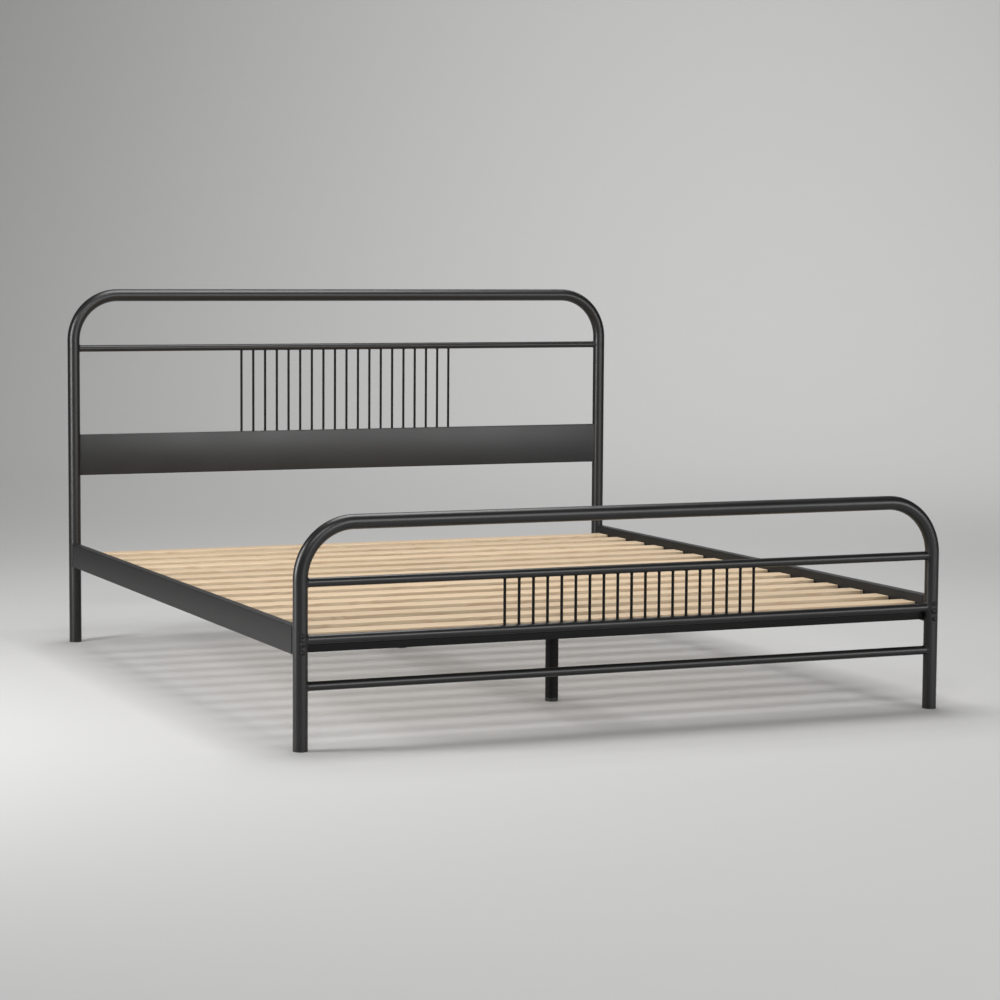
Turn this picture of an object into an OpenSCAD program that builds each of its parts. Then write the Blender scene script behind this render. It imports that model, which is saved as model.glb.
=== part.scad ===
// Metal bed frame with a tall headboard, a low footboard and a slatted deck.
// Origin on the floor at the bed's middle, +Z up, +Y towards the headboard.

/* [Overall] */
// Width of the mattress that the bed takes
mattress_w = 1829; // [900:1:2000]
// Length of the mattress that the bed takes
mattress_l = 2134; // [1700:1:2200]
// How much wider the posts stand than the mattress, centre to centre
post_room_x = 96; // [80:1:140]
// How much further apart the posts stand than the mattress is long, centre to centre
post_room_y = 93; // [70:1:140]

/* [Post and frame tube] */
// Outer diameter of the bent frame tube
tube_d = 40; // [34:1:50]
// Wall of the bent frame tube
tube_wall = 2; // [1.2:0.1:3]
// Centreline radius of the frame's bends
bend_r = 150; // [90:1:180]
// Thickness of the end cap's flange under a post
cap_flange = 3; // [2:0.5:6]
// How far the end cap's plug reaches up into a post
cap_plug = 20; // [10:1:30]

/* [Headboard] */
// Overall height of the headboard
head_h = 1173; // [1080:1:1300]
// Height of the thin rail's centre
head_rail_z = 977; // [900:1:1000]
// Diameter of the thin rail
head_rail_d = 22; // [16:1:30]
// Height of the panel's lower edge
panel_z = 557; // [450:1:600]
// Height of the panel itself
panel_h = 135; // [80:1:200]
// Thickness of the panel
panel_t = 20; // [12:1:30]

/* [Footboard] */
// Overall height of the footboard
foot_h = 620; // [560:1:760]
// Diameter of the footboard's three rails
foot_rail_d = 25; // [20:1:30]
// Height of the upper rail's centre
foot_upper_z = 444; // [400:1:480]
// Height of the middle rail's centre
foot_middle_z = 293.5; // [280:0.5:300]
// Height of the lower rail's centre
foot_lower_z = 170.5; // [60:0.5:210]
// Wall of the rails in both boards
rail_tube_wall = 1.5; // [1:0.1:2.5]

/* [Spindles] */
// Number of spindles in each board
spindle_n = 19; // [5:1:31]
// Diameter of a spindle
spindle_d = 8; // [5:0.5:12]
// Distance from the first spindle's centre to the last one's
spindle_span = 760; // [400:1:900]

/* [Side rails] */
// Height of a side rail's lower edge
rail_z = 253; // [225:1:255]
// Height of a side rail itself
rail_h = 75; // [68:1:100]
// Width of a side rail
rail_t = 30; // [24:1:36]
// Wall of a side rail
rail_wall = 2; // [1.2:0.1:3]
// Thickness of the plate that closes a side rail's end
plate_t = 4; // [3:0.5:6]
// Thickness of the saddle spacer where it is thinnest, between the post and the plate
saddle_t = 2; // [1:0.5:5]
// Width of the saddle spacer
saddle_w = 28; // [24:1:30]

/* [Deck] */
// Height of the cross rails' lower face
cross_z = 258; // [230:1:262]
// Leg of the cross rails' angle section
cross_leg = 40; // [36:1:50]
// Thickness of the cross rails' angle section
cross_t = 3; // [2:0.5:5]
// Width of the centre rail
centre_w = 50; // [44:1:70]
// Depth of the centre rail
centre_h = 25; // [24:1:32]
// Wall of the centre rail
centre_wall = 1.5; // [1.2:0.1:3]
// Leg of the slat ledges' angle section
ledge_leg = 25; // [20:1:28]
// Thickness of the slat ledges' angle section
ledge_t = 3; // [2:0.5:5]
// Number of slats
slat_n = 15; // [9:1:19]
// Width of a slat
slat_w = 70; // [50:1:90]
// Thickness of a slat
slat_t = 18; // [14:1:24]
// Distance from the mattress's end to the first slat's centre
slat_inset = 45; // [35:1:80]
// Gap between a slat's end and the side rail
slat_gap = 2; // [1:0.5:5]

/* [Centre legs] */
// Distance from the bed's middle to a centre leg
leg_y = 595; // [300:1:800]
// Outer diameter of a centre leg
leg_d = 38; // [30:1:42]
// Wall of a centre leg
leg_wall = 1.5; // [1:0.1:2.5]
// Length of the plate on top of a centre leg
leg_plate_l = 92; // [84:1:120]
// Thickness of the plate on top of a centre leg
leg_plate_t = 4; // [3:0.5:6]
// Distance between the two screws of a leg plate
leg_screw_pitch = 68; // [64:1:80]
// Thickness of the levelling foot's pad
pad_t = 8; // [6:0.5:12]
// Diameter of the levelling foot's threaded stem
stem_d = 10; // [8:1:12]
// Length of the threaded stem above the pad
stem_l = 38; // [30:1:60]
// Thickness of the threaded insert's flange under a leg
insert_flange = 3; // [2:0.5:5]
// How far the threaded insert reaches up into a leg
insert_plug = 20; // [12:1:30]

/* [Rail fasteners] */
// Height of the main bolt above the side rail's lower edge
bolt_rise = 31; // [29:1:45]
// Distance from the main bolt to the screw above it and the screw below it
screw_pitch = 22; // [20:1:24]
// Diameter of the main bolt
bolt_d = 8; // [6:1:8]
// Diameter of the small screws
screw_d = 6; // [4:1:6]
// Thickness of the saddle washers where they are thinnest
washer_t = 2; // [1:0.5:3]

/* [Fits] */
// Play between a bolt and the hole it passes through, on diameter
bolt_play = 0.8; // [0.4:0.1:1.5]
// Radial play between a thread and its nut or insert
thread_play = 0.05; // [0.02:0.01:0.1]
// Radial play of a plug in its tube
plug_play = 0.1; // [0:0.05:0.3]
// Gap between a levelling foot and the leg above it
pad_gap = 0.3; // [0.2:0.1:1]

/* [Hidden] */
$fn = 48;
// Both directions along an axis.
SIDES = [-1, 1];
// How far a cut runs past the face it leaves through.
CUT = 1;

post_x = (mattress_w + post_room_x) / 2;
post_y = (mattress_l + post_room_y) / 2;
tube_r = tube_d / 2;
panel_top = panel_z + panel_h;

// The side rail's end plate stands off the post by the saddle spacer.
plate_y = tube_r + saddle_t;
rail_end = plate_y + plate_t;
rail_inner_x = post_x - rail_t / 2;
bolt_z = rail_z + bolt_rise;
screw_zs = [bolt_z - screw_pitch, bolt_z + screw_pitch];

// The cross rail's upright leg stands right behind the footboard's middle rail.
cross_y = foot_rail_d / 2;
shelf_end = cross_y + cross_leg;
shelf_x = rail_inner_x - ledge_t - 4;
// A saddle spacer is kept narrower where the upright leg meets the post further round.
saddle_half = min(saddle_w / 2, sqrt(tube_r * tube_r - cross_y * cross_y) - 1);
// Its upright leg stops short of the saddle spacers.
upright_x = post_x - saddle_half - 0.5;
centre_z = cross_z + cross_t;
slat_z = centre_z + centre_h;
deck_z = slat_z + slat_t;
centre_end = cross_y + cross_t + 2;
centre_bolt_y = cross_y + cross_leg / 2 + 3;
centre_bolt_x = centre_w / 2 - 10;

// A ledge starts past the cross rail's shelf.
ledge_end = shelf_end + 8;
ledge_l = 2 * (post_y - ledge_end);
ledge_mid_x = rail_inner_x - ledge_leg / 2;
slat_l = 2 * (rail_inner_x - slat_gap);
slat_span = mattress_l - 2 * slat_inset;
slat_pitch = slat_span / (slat_n - 1);
slat_screw_d = 4;
slat_screw_l = slat_t + 8;
slat_head_d = 8;
slat_head_h = 2.5;

leg_top = centre_z - leg_plate_t;
insert_z = pad_t + pad_gap;
leg_z = insert_z + insert_flange;

STEEL = [0.16, 0.16, 0.155];
ZINC = [0.45, 0.45, 0.44];
PLASTIC = [0.07, 0.07, 0.07];
PINE = [0.80, 0.66, 0.46];

SLATS = [for (i = [1:slat_n]) str("slat_", i < 10 ? "0" : "", i)];

// ---- shapes that several pieces share ----

// A rod or bore along X, centred on X = 0.
module rod_x(d, l) {
    rotate([0, 90, 0]) cylinder(d = d, h = l, center = true);
}

// A rod or bore along Y between two places.
module rod_y(d, from, to) {
    translate([0, from, 0]) rotate([-90, 0, 0]) cylinder(d = d, h = to - from);
}

// The U that a board's frame tube follows, for any tube diameter.
module frame_path(d, height, base) {
    crown_z = height - tube_r;
    for (side = SIDES) {
        translate([side * post_x, 0, base]) cylinder(d = d, h = crown_z - bend_r - base);
        mirror([side < 0 ? 1 : 0, 0, 0]) translate([post_x - bend_r, 0, crown_z - bend_r])
            rotate([90, 0, 0]) rotate_extrude(angle = 90) translate([bend_r, 0]) circle(d = d);
    }
    translate([0, 0, crown_z]) rod_x(d, 2 * (post_x - bend_r));
}

// The two posts of a board as full rods, to cut the pieces that butt against them.
module posts(height) {
    for (side = SIDES) translate([side * post_x, 0, 0]) cylinder(d = tube_d, h = height);
}

// A board's bent tube, drilled through for the side rails' fasteners.
module board_frame(height) {
    difference() {
        frame_path(tube_d, height, cap_flange);
        frame_path(tube_d - 2 * tube_wall, height, cap_flange - CUT);
        for (side = SIDES) translate([side * post_x, 0, 0]) fastener_holes(-tube_d, tube_d);
    }
}

// A round tube across a board of the given height, its ends shaped to the frame tube.
module board_rail(d, z, height) {
    difference() {
        translate([0, 0, z]) rod_x(d, 2 * post_x);
        translate([0, 0, z]) rod_x(d - 2 * rail_tube_wall, 2 * post_x + CUT);
        frame_path(tube_d, height, 0);
    }
}

// A row of spindles between two heights.
module spindles(low, high) {
    pitch = spindle_span / (spindle_n - 1);
    for (i = [0:spindle_n - 1])
        translate([i * pitch - spindle_span / 2, 0, low]) cylinder(d = spindle_d, h = high - low);
}

// The angle across a board: an upright leg between the posts and a shelf for the centre rail.
module cross_angle() {
    difference() {
        union() {
            translate([-upright_x, cross_y, cross_z]) cube([2 * upright_x, cross_t, cross_leg]);
            translate([-shelf_x, cross_y, cross_z]) cube([2 * shelf_x, cross_leg, cross_t]);
        }
        posts(head_h);
        for (side = SIDES) translate([side * centre_bolt_x, centre_bolt_y, cross_z - CUT])
            cylinder(d = screw_d + bolt_play, h = cross_t + 2 * CUT);
    }
}

// Puts a piece drawn for the footboard, facing the bed along +Y, at the foot.
module at_foot() {
    translate([0, -post_y, 0]) children();
}

// Puts the same piece at the head, turned to face the bed.
module at_head() {
    translate([0, post_y, 0]) mirror([0, 1, 0]) children();
}

// Puts a piece drawn on a foot post's axis at all four posts.
module at_posts() {
    for (side = SIDES) {
        at_foot() translate([side * post_x, 0, 0]) children();
        at_head() translate([side * post_x, 0, 0]) children();
    }
}

// The three holes of a side rail's joint, along Y.
module fastener_holes(from, to) {
    translate([0, 0, bolt_z]) rod_y(bolt_d + bolt_play, from, to);
    for (z = screw_zs) translate([0, 0, z]) rod_y(screw_d + bolt_play, from, to);
}

// A button-head bolt along Y: the head's underside is at Y = from, and the shank runs to Y = to.
module button_bolt(d, from, to) {
    head_d = 1.8 * d;
    head_h = 0.55 * d;
    difference() {
        union() {
            translate([0, from, 0]) rotate([90, 0, 0]) cylinder(d = head_d, h = head_h / 2);
            translate([0, from - head_h / 2, 0]) rotate([90, 0, 0])
                cylinder(d1 = head_d, d2 = 0.7 * head_d, h = head_h / 2);
            rod_y(d, from - head_h / 4, to);
        }
        translate([0, from - head_h / 3, 0]) rotate([90, 0, 0])
            cylinder(d = 0.7 * d, h = head_h, $fn = 6);
    }
}

// A hexagon nut along Y on a thread of diameter d, starting at Y = from.
module hex_nut(d, from) {
    height = 0.8 * d;
    difference() {
        translate([0, from, 0]) rotate([-90, 0, 0]) cylinder(d = 1.88 * d, h = height, $fn = 6);
        rod_y(d + 2 * thread_play, from - CUT, from + height + CUT);
    }
}

// A washer with a flat face for a bolt head and a hollow face that sits on the post.
module saddle_washer(d) {
    difference() {
        rod_y(2.3 * d, -tube_r - washer_t, -tube_r + 2.3 * d / 6);
        rotate([0, 0, 90]) cylinder(d = tube_d, h = 4 * d, center = true);
        rod_y(d + bolt_play, -tube_r - washer_t - CUT, 0);
    }
}

// A rectangular bar along Y, centred on X = 0 and Y = 0, with its lower face at Z = 0.
module bar_y(w, h, l) {
    translate([-w / 2, -l / 2, 0]) cube([w, l, h]);
}

// A rectangular tube along Y, placed as the bar is.
module box_tube(w, h, wall, l) {
    difference() {
        bar_y(w, h, l);
        translate([0, 0, wall]) bar_y(w - 2 * wall, h - 2 * wall, l + 2 * CUT);
    }
}

// The places of the slats along the bed.
function slat_place(i) = (i - 1) * slat_pitch - slat_span / 2;

// Puts a piece at each of a slat's three screws.
module at_slat_screws() {
    for (x = [-ledge_mid_x, 0, ledge_mid_x]) translate([x, 0, deck_z]) children();
}

// ---- headboard ----

module headboard_frame() {
    color(STEEL) at_head() board_frame(head_h);
}

module headboard_rail() {
    color(STEEL) at_head() board_rail(head_rail_d, head_rail_z, head_h);
}

module headboard_spindles() {
    color(STEEL) at_head() difference() {
        spindles(panel_top, head_rail_z);
        translate([0, 0, head_rail_z]) rod_x(head_rail_d, 2 * post_x);
    }
}

module headboard_panel() {
    color(STEEL) at_head() difference() {
        translate([-post_x, -panel_t / 2, panel_z]) cube([2 * post_x, panel_t, panel_h]);
        translate([-post_x - CUT, rail_tube_wall - panel_t / 2, panel_z + rail_tube_wall])
            cube([2 * (post_x + CUT), panel_t - 2 * rail_tube_wall, panel_h - 2 * rail_tube_wall]);
        posts(head_h);
    }
}

module head_cross_rail() {
    color(STEEL) at_head() cross_angle();
}

// ---- footboard ----

module footboard_frame() {
    color(STEEL) at_foot() board_frame(foot_h);
}

module footboard_upper_rail() {
    color(STEEL) at_foot() board_rail(foot_rail_d, foot_upper_z, foot_h);
}

module footboard_middle_rail() {
    color(STEEL) at_foot() board_rail(foot_rail_d, foot_middle_z, foot_h);
}

module footboard_lower_rail() {
    color(STEEL) at_foot() board_rail(foot_rail_d, foot_lower_z, foot_h);
}

module footboard_spindles() {
    color(STEEL) at_foot() difference() {
        spindles(foot_middle_z, foot_upper_z);
        for (z = [foot_middle_z, foot_upper_z]) translate([0, 0, z]) rod_x(foot_rail_d, 2 * post_x);
    }
}

module foot_cross_rail() {
    color(STEEL) at_foot() cross_angle();
}

// ---- side rails and their joints ----

module side_rail(side) {
    color(STEEL) translate([side * post_x, 0, rail_z])
        box_tube(rail_t, rail_h, rail_wall, 2 * (post_y - rail_end));
}

module rail_end_plates() {
    color(STEEL) at_posts() difference() {
        translate([-rail_t / 2, plate_y, rail_z]) cube([rail_t, plate_t, rail_h]);
        fastener_holes(plate_y - CUT, rail_end + CUT);
    }
}

module post_saddles() {
    color(PLASTIC) at_posts() difference() {
        translate([-saddle_half, 0, rail_z]) cube([2 * saddle_half, plate_y, rail_h]);
        cylinder(d = tube_d, h = head_h);
        fastener_holes(0, plate_y + CUT);
    }
}

module post_caps() {
    color(PLASTIC) at_posts() {
        cylinder(d = tube_d, h = cap_flange);
        cylinder(d = tube_d - 2 * tube_wall - 2 * plug_play, h = cap_flange + cap_plug);
    }
}

module rail_bolts() {
    color(ZINC) at_posts() translate([0, 0, bolt_z])
        button_bolt(bolt_d, -tube_r - washer_t, rail_end + 1.5 * bolt_d);
}

module bolt_washers() {
    color(ZINC) at_posts() translate([0, 0, bolt_z]) saddle_washer(bolt_d);
}

module bolt_nuts() {
    color(ZINC) at_posts() translate([0, 0, bolt_z]) hex_nut(bolt_d, rail_end);
}

module rail_screws() {
    color(ZINC) at_posts() for (z = screw_zs) translate([0, 0, z])
        button_bolt(screw_d, -tube_r - washer_t, rail_end + 1.5 * screw_d);
}

module screw_washers() {
    color(ZINC) at_posts() for (z = screw_zs) translate([0, 0, z]) saddle_washer(screw_d);
}

module screw_nuts() {
    color(ZINC) at_posts() for (z = screw_zs) translate([0, 0, z]) rotate([0, 30, 0])
        hex_nut(screw_d, rail_end);
}

// ---- deck ----

module slat_ledge(side) {
    color(STEEL) difference() {
        union() {
            translate([side * (rail_inner_x - ledge_t / 2), 0, slat_z - ledge_leg])
                bar_y(ledge_t, ledge_leg, ledge_l);
            translate([side * ledge_mid_x, 0, slat_z - ledge_t])
                bar_y(ledge_leg, ledge_t, ledge_l);
        }
        for (i = [1:slat_n]) translate([side * ledge_mid_x, slat_place(i), slat_z - ledge_t - CUT])
            cylinder(d = slat_screw_d + 2 * thread_play, h = ledge_t + 2 * CUT);
    }
}

module centre_rail() {
    color(STEEL) difference() {
        translate([0, 0, centre_z]) box_tube(centre_w, centre_h, centre_wall, 2 * (post_y - centre_end));
        for (i = [1:slat_n]) translate([0, slat_place(i), slat_z - centre_h / 2])
            cylinder(d = slat_screw_d + 2 * thread_play, h = centre_h);
        at_centre_bolts() cylinder(d = screw_d + bolt_play, h = centre_h + 2 * CUT);
        at_leg_screws() cylinder(d = screw_d + bolt_play, h = centre_h / 2);
    }
}

// Puts a piece at each bolt of the centre rail, just under the rail's lower face.
module at_centre_bolts() {
    for (side = SIDES) {
        at_foot() translate([side * centre_bolt_x, centre_bolt_y, centre_z - CUT]) children();
        at_head() translate([side * centre_bolt_x, centre_bolt_y, centre_z - CUT]) children();
    }
}

// Puts a piece at each screw of the leg plates, at the plates' lower face.
module at_leg_screws() {
    for (leg = SIDES) for (side = SIDES)
        translate([0, leg * leg_y + side * leg_screw_pitch / 2, leg_top]) children();
}

module centre_rail_bolts() {
    color(ZINC) at_centre_bolts() rotate([90, 0, 0])
        button_bolt(screw_d, CUT - cross_t, centre_h + CUT + 1.5 * screw_d);
}

module centre_rail_nuts() {
    color(ZINC) at_centre_bolts() rotate([90, 0, 0]) hex_nut(screw_d, centre_h + CUT);
}

module slat(i) {
    color(PINE) translate([0, slat_place(i), 0]) difference() {
        translate([-slat_l / 2, -slat_w / 2, slat_z]) cube([slat_l, slat_w, slat_t]);
        at_slat_screws() {
            translate([0, 0, -slat_t - CUT]) cylinder(d = slat_screw_d + bolt_play, h = slat_t + 2 * CUT);
            slat_screw_head();
        }
    }
}

// The countersunk head of a slat screw, flush with Z = 0.
module slat_screw_head() {
    translate([0, 0, -slat_head_h])
        cylinder(d1 = slat_screw_d + bolt_play, d2 = slat_head_d, h = slat_head_h);
}

module slat_screws() {
    color(ZINC) for (i = [1:slat_n]) translate([0, slat_place(i), 0]) at_slat_screws() {
        translate([0, 0, -slat_screw_l]) cylinder(d = slat_screw_d, h = slat_screw_l - slat_head_h / 2);
        slat_screw_head();
    }
}

// ---- centre legs ----

module leg_plate(leg) {
    color(STEEL) translate([0, leg * leg_y, leg_top]) difference() {
        translate([-centre_w / 2, -leg_plate_l / 2, 0]) cube([centre_w, leg_plate_l, leg_plate_t]);
        for (side = SIDES) translate([0, side * leg_screw_pitch / 2, -CUT])
            cylinder(d = screw_d + bolt_play, h = leg_plate_t + 2 * CUT);
    }
}

module centre_leg(leg) {
    color(STEEL) translate([0, leg * leg_y, leg_z]) difference() {
        cylinder(d = leg_d, h = leg_top - leg_z);
        translate([0, 0, -CUT]) cylinder(d = leg_d - 2 * leg_wall, h = leg_top - leg_z + 2 * CUT);
    }
}

module leg_insert(leg) {
    color(PLASTIC) translate([0, leg * leg_y, insert_z]) difference() {
        union() {
            cylinder(d = leg_d, h = insert_flange);
            cylinder(d = leg_d - 2 * leg_wall - 2 * plug_play, h = insert_flange + insert_plug);
        }
        translate([0, 0, -CUT])
            cylinder(d = stem_d + 2 * thread_play, h = insert_flange + insert_plug + 2 * CUT);
    }
}

module leveller(leg) {
    color(PLASTIC) translate([0, leg * leg_y, 0]) {
        cylinder(d1 = leg_d - pad_t / 2, d2 = leg_d, h = pad_t / 4);
        translate([0, 0, pad_t / 4]) cylinder(d = leg_d, h = 3 * pad_t / 4);
        translate([0, 0, pad_t / 2]) cylinder(d = stem_d, h = pad_t / 2 + stem_l);
    }
}

module leg_screws() {
    color(ZINC) at_leg_screws() rotate([90, 0, 0])
        button_bolt(screw_d, 0, leg_plate_t + centre_wall + 1.2 * screw_d);
}

module leg_nuts() {
    color(ZINC) at_leg_screws() rotate([90, 0, 0]) hex_nut(screw_d, leg_plate_t + centre_wall);
}

// ---- the nodes ----

headboard_frame();
headboard_rail();
headboard_spindles();
headboard_panel();
head_cross_rail();
footboard_frame();
footboard_upper_rail();
footboard_spindles();
footboard_middle_rail();
footboard_lower_rail();
foot_cross_rail();
side_rail(-1);  // side_rail_left
side_rail(1);  // side_rail_right
rail_end_plates();
post_saddles();
post_caps();
rail_bolts();
bolt_washers();
bolt_nuts();
rail_screws();
screw_washers();
screw_nuts();
slat_ledge(-1);  // slat_ledge_left
slat_ledge(1);  // slat_ledge_right
centre_rail();
centre_rail_bolts();
centre_rail_nuts();
leg_plate(-1);  // leg_plate_front
leg_plate(1);  // leg_plate_rear
centre_leg(-1);  // centre_leg_front
centre_leg(1);  // centre_leg_rear
leg_insert(-1);  // leg_insert_front
leg_insert(1);  // leg_insert_rear
leveller(-1);  // leveller_front
leveller(1);  // leveller_rear
leg_screws();
leg_nuts();
slat_screws();
for (i = [1:slat_n]) slat(i);
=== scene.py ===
"""Looks of a spindle-style metal bed frame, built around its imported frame.

Every mesh is in metres and in the frame's own axes: +Y towards the headboard, +Z up.
"""

import logging
import math
from collections.abc import Callable, Iterable, Mapping
from dataclasses import dataclass, field
from enum import Enum

import bmesh
import bpy
from mathutils import Matrix, Vector


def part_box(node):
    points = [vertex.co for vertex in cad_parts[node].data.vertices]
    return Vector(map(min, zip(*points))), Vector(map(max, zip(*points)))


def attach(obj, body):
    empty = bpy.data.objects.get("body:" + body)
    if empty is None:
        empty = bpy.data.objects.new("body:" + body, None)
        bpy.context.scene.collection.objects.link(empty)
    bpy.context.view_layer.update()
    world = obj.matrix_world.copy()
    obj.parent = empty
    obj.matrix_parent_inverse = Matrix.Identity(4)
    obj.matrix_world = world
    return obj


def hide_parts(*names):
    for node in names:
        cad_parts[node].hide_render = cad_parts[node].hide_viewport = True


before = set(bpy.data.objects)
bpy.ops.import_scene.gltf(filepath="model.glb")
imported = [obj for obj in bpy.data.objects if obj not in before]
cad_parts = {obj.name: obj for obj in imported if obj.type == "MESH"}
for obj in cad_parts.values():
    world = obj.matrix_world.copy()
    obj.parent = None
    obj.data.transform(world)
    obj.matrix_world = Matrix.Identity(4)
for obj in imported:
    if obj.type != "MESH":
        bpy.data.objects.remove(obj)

log = logging.getLogger("bed")
MM = 0.001
SIDES = (-1.0, 1.0)
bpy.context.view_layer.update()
FULL_TURN = 2 * math.pi
Vert, Edge, Socket = bmesh.types.BMVert, bmesh.types.BMEdge, bpy.types.NodeSocket
# Places a bar's section, drawn in local X and Y, with its length along the frame's Y or X.
ALONG_BED = Matrix(((1, 0, 0, 0), (0, 0, 1, 0), (0, 1, 0, 0), (0, 0, 0, 1)))
ACROSS_BED = Matrix(((0, 0, 1, 0), (1, 0, 0, 0), (0, 1, 0, 0), (0, 0, 0, 1)))


class Body(Enum):
    """The frame's rigid bodies."""

    FRAME = "frame"
    FRONT_LEVELLER = "front_leveller"
    REAR_LEVELLER = "rear_leveller"


class Slot(Enum):
    """The record's material slots."""

    STEEL = "frame_steel"
    RAIL_FASTENERS = "rail_fasteners"
    PLATED = "plated_fasteners"
    PLASTIC = "black_plastic"
    WOOD = "slat_wood"


# ---- shader maths ----


class Value:
    """A number that varies over a surface, so that sums on it read as plain arithmetic."""

    def __init__(self, graph: "Graph", socket: Socket) -> None:
        """Wraps an output socket of the graph."""
        self.graph = graph
        self.socket = socket

    def _math(self, operation: str, first: "Value | float", second: "Value | float") -> "Value":
        """Adds one Math node and returns its result."""
        made = self.graph.node("ShaderNodeMath", {"operation": operation}, {0: first, 1: second})
        return Value(self.graph, made.outputs[0])

    def __add__(self, other: "Value | float") -> "Value":
        """This plus other."""
        return self._math("ADD", self, other)

    def __radd__(self, other: float) -> "Value":
        """Other plus this."""
        return self._math("ADD", other, self)

    def __sub__(self, other: "Value | float") -> "Value":
        """This minus other."""
        return self._math("SUBTRACT", self, other)

    def __rsub__(self, other: float) -> "Value":
        """Other minus this."""
        return self._math("SUBTRACT", other, self)

    def __mul__(self, other: "Value | float") -> "Value":
        """This times other."""
        return self._math("MULTIPLY", self, other)

    def __rmul__(self, other: float) -> "Value":
        """Other times this."""
        return self._math("MULTIPLY", other, self)

    def __truediv__(self, other: "Value | float") -> "Value":
        """This divided by other."""
        return self._math("DIVIDE", self, other)

    def __pow__(self, other: "Value | float") -> "Value":
        """This to the power of other."""
        return self._math("POWER", self, other)

    def floor(self) -> "Value":
        """The largest whole number at or under this."""
        return self._math("FLOOR", self, 0.0)

    def smooth(self, low: float, high: float) -> "Value":
        """A smooth step from 0 at low to 1 at high.

        Args:
            low: where the step starts.
            high: where it ends, which may be under low for a falling step.

        Returns:
            The stepped value.
        """
        settings = {"interpolation_type": "SMOOTHSTEP"}
        if low <= high:
            inputs = {0: self, 1: low, 2: high, 3: 0.0, 4: 1.0}
        else:
            inputs = {0: self, 1: high, 2: low, 3: 1.0, 4: 0.0}
        made = self.graph.node("ShaderNodeMapRange", settings, inputs)
        return Value(self.graph, made.outputs[0])


class Graph:
    """The node tree of one material or world, with one method that adds any node."""

    def __init__(self, tree: bpy.types.NodeTree) -> None:
        """Starts on an empty tree."""
        tree.nodes.clear()
        self.tree = tree

    def node(
        self, kind: str, settings: Mapping | None = None, inputs: Mapping | None = None
    ) -> bpy.types.Node:
        """Adds a node.

        Args:
            kind: the node's type name.
            settings: its properties, set first.
            inputs: socket name or number to a value, a Value or a socket.

        Returns:
            The new node.
        """
        made = self.tree.nodes.new(kind)
        for name, setting in (settings or {}).items():
            setattr(made, name, setting)
        for name, value in (inputs or {}).items():
            if isinstance(value, Value):
                value = value.socket
            if isinstance(value, Socket):
                self.tree.links.new(value, made.inputs[name])
            else:
                made.inputs[name].default_value = value
        return made

    def place(self) -> Socket:
        """The point on the piece, in the row frame."""
        return self.node("ShaderNodeTexCoord").outputs["Object"]

    def scaled(self, vector: Socket, scale: tuple[float, float, float]) -> Socket:
        """A point with each of its coordinates multiplied."""
        made = self.node("ShaderNodeVectorMath", {"operation": "MULTIPLY"}, {0: vector, 1: scale})
        return made.outputs[0]

    def axes(self, vector: Socket) -> tuple[Value, Value, Value]:
        """The three coordinates of a point."""
        made = self.node("ShaderNodeSeparateXYZ", None, {0: vector})
        return tuple(Value(self, socket) for socket in made.outputs)

    def noise(
        self, vector: Socket, scale: float, detail: float = 2.0, rough: float = 0.5
    ) -> Value:
        """Smooth noise from 0 to 1.

        Args:
            vector: the point that it is read at.
            scale: its cells per metre.
            detail: how many finer layers it has.
            rough: how strong the finer layers are.

        Returns:
            The noise.
        """
        inputs = {"Vector": vector, "Scale": scale, "Detail": detail, "Roughness": rough}
        return Value(self, self.node("ShaderNodeTexNoise", None, inputs).outputs[0])

    def blend(self, factor: Value | float, first: object, second: object) -> Socket:
        """A mix of two colours, each a colour or a colour socket."""
        settings = {"data_type": "RGBA"}
        inputs = {0: factor, 6: rgba(first), 7: rgba(second)}
        return self.node("ShaderNodeMix", settings, inputs).outputs[2]

    def bump(self, height: Value, strength: float, distance: float) -> Socket:
        """A normal that stands for a small relief of that height."""
        inputs = {"Height": height, "Strength": strength, "Distance": distance}
        return self.node("ShaderNodeBump", None, inputs).outputs[0]


def rgba(colour: object) -> object:
    """A plain colour with its alpha, or a socket as it is."""
    return (*colour, 1.0) if isinstance(colour, tuple) and len(colour) == 3 else colour


def grey(level: float, warmth: float = 0.0) -> tuple[float, float, float]:
    """A grey of that linear level, a little warmer or cooler."""
    return (level * (1 + warmth), level, level * (1 - warmth))


@dataclass(frozen=True)
class Finish:
    """What every finish has: a name, a slot, a colour and how rough it is."""

    name: str
    slot: Slot
    colour: tuple[float, float, float]
    roughness: float
    metallic: float = 0.0

    def material(self) -> bpy.types.Material:
        """The finish's material, made once."""
        made = bpy.data.materials.get(self.name)
        if made is None:
            made = bpy.data.materials.new(self.name)
            made.use_nodes = True
            graph = Graph(made.node_tree)
            surface = graph.node("ShaderNodeBsdfPrincipled", None, self.surface(graph))
            graph.node("ShaderNodeOutputMaterial", None, {"Surface": surface.outputs[0]})
            made.diffuse_color = rgba(self.colour)
        return made

    def surface(self, graph: Graph) -> dict:
        """The shader's inputs.

        Args:
            graph: the material's node tree.

        Returns:
            Socket name to value or link.
        """
        raise NotImplementedError


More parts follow.
